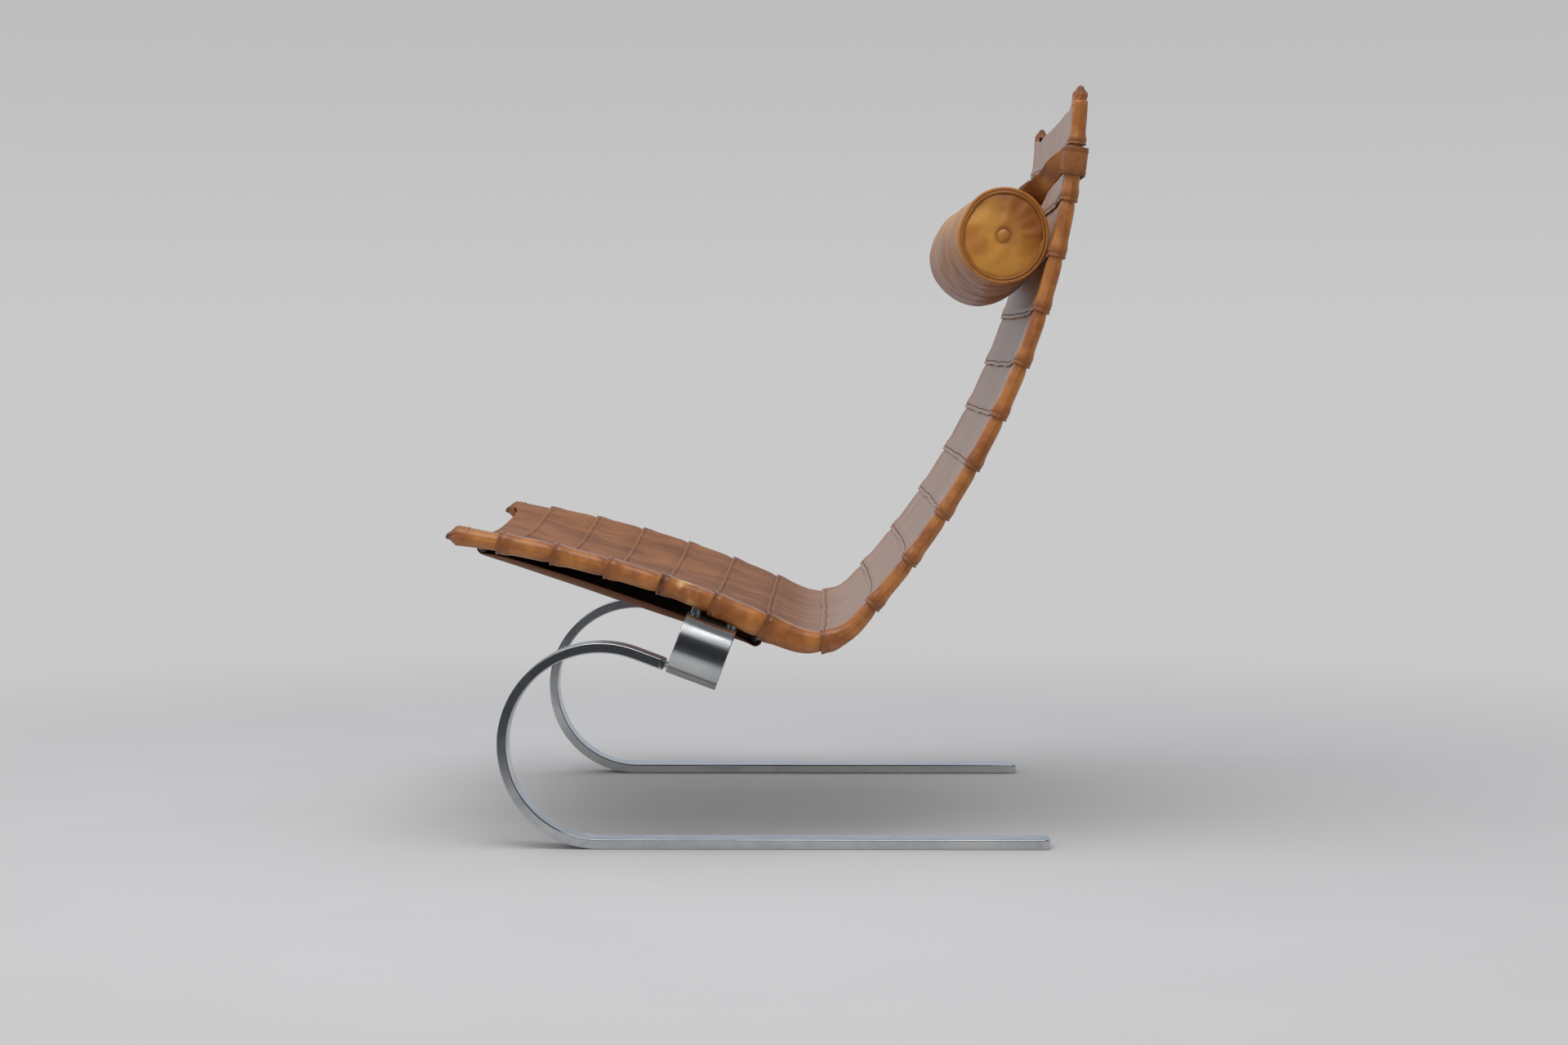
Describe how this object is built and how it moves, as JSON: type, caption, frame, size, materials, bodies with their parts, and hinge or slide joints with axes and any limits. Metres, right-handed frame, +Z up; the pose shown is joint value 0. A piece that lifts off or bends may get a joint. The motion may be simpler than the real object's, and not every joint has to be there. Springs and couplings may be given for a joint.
{
  "type": "cantilever lounge chair",
  "caption": "High-backed cantilever lounge chair: flat steel loop legs, a steel cradle, overlapping leather strips on a bent frame, and a bolster headrest on a sliding belt.",
  "frame": {"origin": "on the floor, under the middle of the chair's width and depth", "axes": "+X along the width, to the sitter's left; +Y towards the back of the chair; +Z up"},
  "size_m": [0.8026, 0.7526, 0.8949],
  "materials": {
    "polished_steel": "polished, with light handling marks",
    "bright_steel": "turned, bright",
    "bolt_steel": "zinc plated, dull",
    "frame_steel": "satin, hidden in the leather",
    "strip_leather": "natural vegetable-tanned leather, aged, smooth grain with a soft sheen",
    "cap_leather": "darkened, puckered natural leather",
    "sling_leather": "natural leather, dull underside",
    "belt_leather": "natural leather, stitched along both edges",
    "bolster_leather": "soft natural leather with fine creases",
    "piping_leather": "natural leather cord piping",
    "filling": "cotton case with a soft filling"
  },
  "bodies": {
    "frame": {"cradle_band": "polished_steel", "cradle_bolts": "bolt_steel", "cradle_spacers": "bright_steel", "cradle_washers": "bolt_steel", "front_crossbar": "frame_steel", "left_front_cap": "cap_leather", "left_leg": "polished_steel", "left_rail": "frame_steel", "left_top_cap": "cap_leather", "leg_studs": "bright_steel", "rear_crossbar": "frame_steel", "right_front_cap": "cap_leather", "right_leg": "polished_steel", "right_rail": "frame_steel", "right_top_cap": "cap_leather", "seat_sling": "sling_leather", "strip_01": "strip_leather", "strip_02": "strip_leather", "strip_03": "strip_leather", "strip_04": "strip_leather", "strip_05": "strip_leather", "strip_06": "strip_leather", "strip_07": "strip_leather", "strip_08": "strip_leather", "strip_09": "strip_leather", "strip_10": "strip_leather", "strip_11": "strip_leather", "strip_12": "strip_leather", "strip_13": "strip_leather", "strip_14": "strip_leather", "strip_15": "strip_leather", "strip_16": "strip_leather", "strip_17": "strip_leather", "strip_18": "strip_leather", "top_crossbar": "frame_steel"},
    "headrest": {"headrest_belt": "belt_leather"},
    "bolster": {"bolster_core": "filling", "bolster_cover": "bolster_leather", "left_bolster_button": "bolster_leather", "left_bolster_cap": "bolster_leather", "left_bolster_piping": "piping_leather", "left_hanger": "belt_leather", "right_bolster_button": "bolster_leather", "right_bolster_cap": "bolster_leather", "right_bolster_piping": "piping_leather", "right_hanger": "belt_leather"}
  },
  "joints": [
    {"name": "headrest_height", "type": "hinge", "parent": "frame", "child": "headrest", "pos_m": [0, -0.60321, 0.93106], "axis": [1, 0, 0], "range_deg": [-7, 2.6]},
    {"name": "bolster_swing", "type": "hinge", "parent": "headrest", "child": "bolster", "pos_m": [0, 0.35166, 0.82867], "axis": [-1, 0, 0], "range_deg": [0, 75]}
  ]
}
